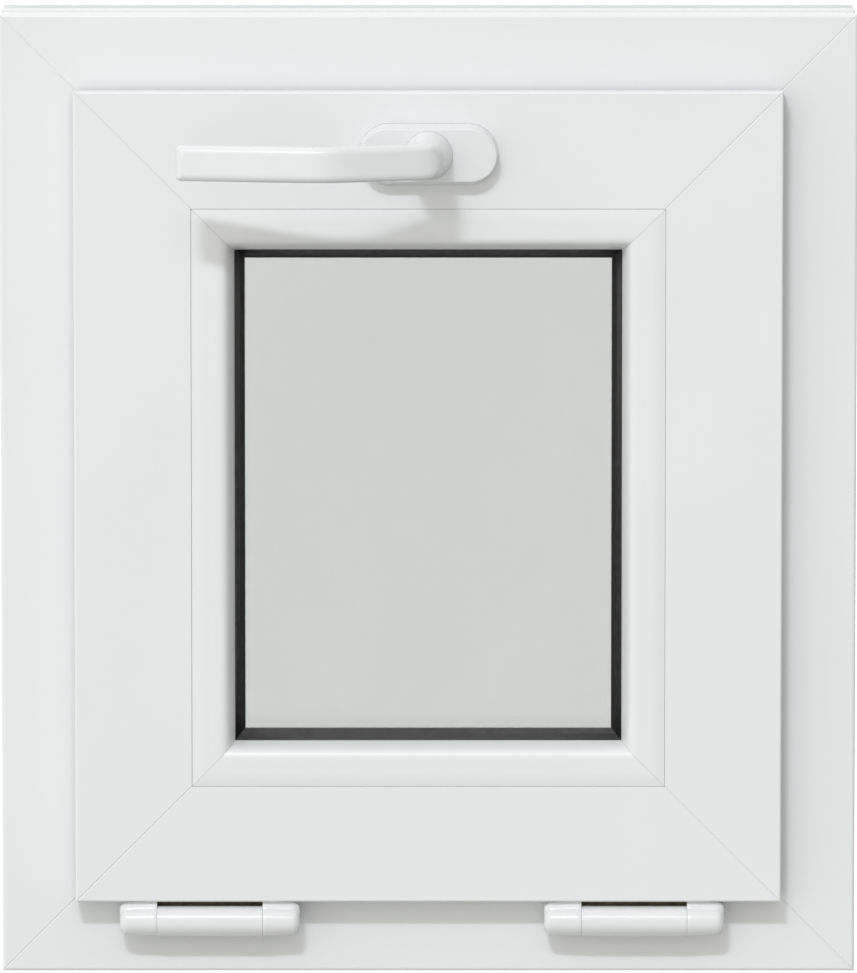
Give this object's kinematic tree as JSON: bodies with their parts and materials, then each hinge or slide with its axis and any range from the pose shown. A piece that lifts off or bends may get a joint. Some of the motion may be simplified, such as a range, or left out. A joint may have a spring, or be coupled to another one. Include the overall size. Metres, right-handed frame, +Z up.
{
  "type": "basement window",
  "caption": "White plastic basement window that tilts inwards, with a double-glazed pane in an overlapping sash, a lever handle at the top and barrel hinges at the bottom.",
  "frame": {"origin": "middle of the outer frame's underside, in the middle of the frame's depth", "axes": "+X to the right seen from the room, +Y from the room to the outdoors, +Z up"},
  "size_m": [0.4, 0.1537, 0.45],
  "materials": {
    "white_profile": "smooth satin-gloss white window plastic",
    "black_gasket": "matt black extruded rubber",
    "spacer_metal": "mill aluminium with fine perforations",
    "glass": "clear float glass with polished faces and cut edges",
    "white_coat": "smooth white powder coat",
    "leaf_steel": "dark olive passivated steel",
    "pin_steel": "bright zinc-plated steel"
  },
  "bodies": {
    "window": {"frame_sill": "white_profile", "frame_head": "white_profile", "frame_jamb_left": "white_profile", "frame_jamb_right": "white_profile", "sash_bottom_rail": "white_profile", "sash_top_rail": "white_profile", "sash_stile_left": "white_profile", "sash_stile_right": "white_profile", "glazing_bead_bottom": "white_profile", "glazing_bead_top": "white_profile", "glazing_bead_left": "white_profile", "glazing_bead_right": "white_profile", "bead_gasket_bottom": "black_gasket", "outer_glazing_gasket_bottom": "black_gasket", "frame_gasket_bottom": "black_gasket", "sash_gasket_bottom": "black_gasket", "bead_gasket_top": "black_gasket", "outer_glazing_gasket_top": "black_gasket", "frame_gasket_top": "black_gasket", "sash_gasket_top": "black_gasket", "bead_gasket_left": "black_gasket", "outer_glazing_gasket_left": "black_gasket", "frame_gasket_left": "black_gasket", "sash_gasket_left": "black_gasket", "bead_gasket_right": "black_gasket", "outer_glazing_gasket_right": "black_gasket", "frame_gasket_right": "black_gasket", "sash_gasket_right": "black_gasket", "spacer_bottom": "spacer_metal", "spacer_top": "spacer_metal", "spacer_left": "spacer_metal", "spacer_right": "spacer_metal", "glass_pane_inner": "glass", "glass_pane_outer": "glass", "handle_rosette": "white_coat", "hinge_leaves": "leaf_steel", "hinge_sleeves": "white_coat", "hinge_knuckles": "white_coat", "hinge_pins": "pin_steel", "drain_caps": "white_profile"},
    "handle": {"handle_lever": "white_coat"}
  },
  "joints": [
    {"name": "handle_turn", "type": "hinge", "parent": "window", "child": "handle", "pos_m": [0, -0.055, 0.386], "axis": [0, -1, 0], "range_deg": [0, 90]}
  ]
}
